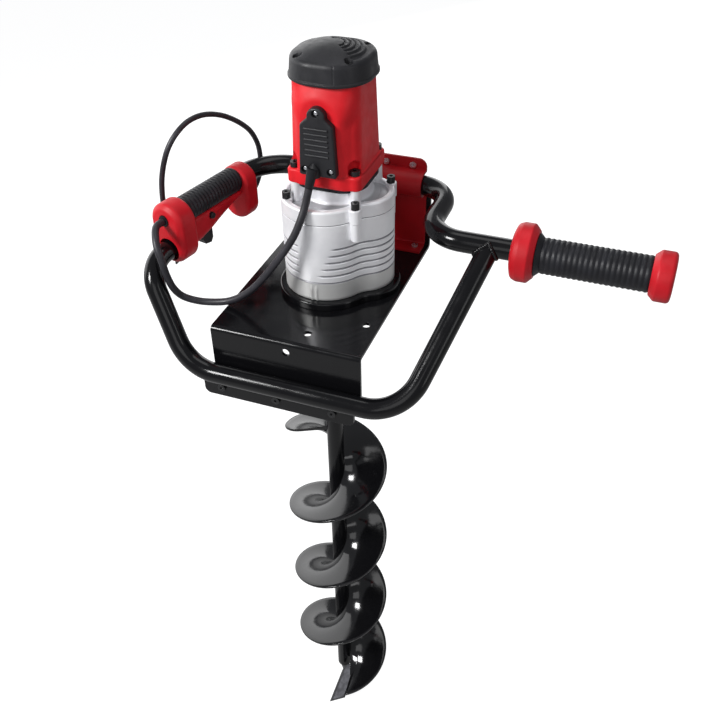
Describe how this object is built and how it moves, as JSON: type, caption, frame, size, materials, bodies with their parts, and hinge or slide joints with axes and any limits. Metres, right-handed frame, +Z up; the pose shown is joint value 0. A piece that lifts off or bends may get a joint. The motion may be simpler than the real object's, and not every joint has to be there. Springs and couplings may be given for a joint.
{
  "type": "earth auger",
  "caption": "Electric earth auger: red and black motor on a grooved cast gearbox, folded black chassis, bent tube frame with two hand grips, trigger handle, leads and a screw bit with cutter.",
  "frame": {"origin": "where the auger's axis crosses the plane of the two hand grips; the chassis plate's top face lies 95 mm below", "axes": "+Z up along the auger's axis; -Y forward, over the front bar; +X to the single right-hand grip"},
  "size_m": [0.6368, 0.3011, 1.1585],
  "materials": {
    "black_paint": "gloss black stove enamel",
    "red_paint": "gloss red enamel",
    "red_plastic": "satin red moulded plastic",
    "black_rubber": "matte",
    "black_plastic": "fine matte grain",
    "cast_alu": "bright cast and machined",
    "steel": "bright zinc and ground steel",
    "black_steel": "blackened steel",
    "copper": "enamelled copper wire",
    "bronze": "bronze and brass",
    "carbon": "carbon"
  },
  "bodies": {
    "machine": {"chassis": "black_paint", "tube_clamp": "red_paint", "clamp_bolts": "steel", "clamp_foot_bolts": "steel", "front_bracket": "black_paint", "bracket_bolts": "black_steel", "handle_tube": "black_paint", "loop_tube": "black_paint", "right_grip": "black_rubber", "right_guard": "red_plastic", "right_end_cap": "red_plastic", "left_grip": "black_rubber", "front_guard": "red_plastic", "rear_guard": "red_plastic", "switch_housing": "red_plastic", "switch_body": "black_plastic", "trigger_spring": "steel", "lock_spring": "steel", "lead_grommet": "black_rubber", "mains_gland": "black_rubber", "motor_lead": "black_rubber", "motor_gland": "black_rubber", "mains_lead": "black_rubber", "plug": "black_rubber", "motor_housing": "red_plastic", "motor_cap": "black_plastic", "cap_screws": "black_steel", "terminal_cover": "black_plastic", "cover_screws": "steel", "flange_screws": "black_steel", "motor_gasket": "black_rubber", "stator": "steel", "field_coils": "copper", "brush_holders": "bronze", "brushes": "carbon", "motor_bearings": "steel", "gear_cover": "cast_alu", "gear_case": "cast_alu", "case_bolts": "black_steel", "layshaft_bearings": "steel", "output_bearing": "steel", "output_bush": "bronze", "oil_seal": "black_rubber", "base_ring": "black_paint", "mount_bolts": "black_steel"},
    "auger_drive": {"output_gear": "steel", "output_shaft": "steel", "auger_shaft": "black_paint", "auger_flight": "black_paint", "cutter_blade": "black_steel", "pilot_point": "black_steel", "drive_pin": "steel"},
    "layshaft_group": {"layshaft": "steel", "layshaft_gear": "steel"},
    "armature_group": {"armature": "steel", "fan": "black_plastic", "motor_pinion": "steel"},
    "trigger_body": {"trigger": "black_plastic"},
    "lock_body": {"lock_button": "black_plastic"}
  },
  "joints": [
    {"name": "auger_spin", "type": "hinge", "parent": "machine", "child": "auger_drive", "pos_m": [0, 0, 0], "axis": [0, 0, -1], "continuous": true},
    {"name": "layshaft_spin", "type": "hinge", "parent": "machine", "child": "layshaft_group", "pos_m": [0.03987, 0.02087, 0], "axis": [0, 0, -1], "continuous": true},
    {"name": "armature_spin", "type": "hinge", "parent": "machine", "child": "armature_group", "pos_m": [0.009, 0.018, 0], "axis": [0, 0, -1], "continuous": true},
    {"name": "trigger_press", "type": "slide", "parent": "machine", "child": "trigger_body", "axis": [0, 0, 1], "range_m": [0, 0.005], "stiffness_N_per_m": 900, "springref_m": -0.003, "deforming": ["trigger_spring"]},
    {"name": "lock_press", "type": "slide", "parent": "machine", "child": "lock_body", "axis": [-0.9744, 0.225, 0], "range_m": [0, 0.004], "stiffness_N_per_m": 600, "springref_m": -0.003, "deforming": ["lock_spring"]}
  ],
  "couplings": [
    {"joint": "layshaft_spin", "follows": "auger_spin", "ratio": -5},
    {"joint": "armature_spin", "follows": "auger_spin", "ratio": 20.833}
  ]
}
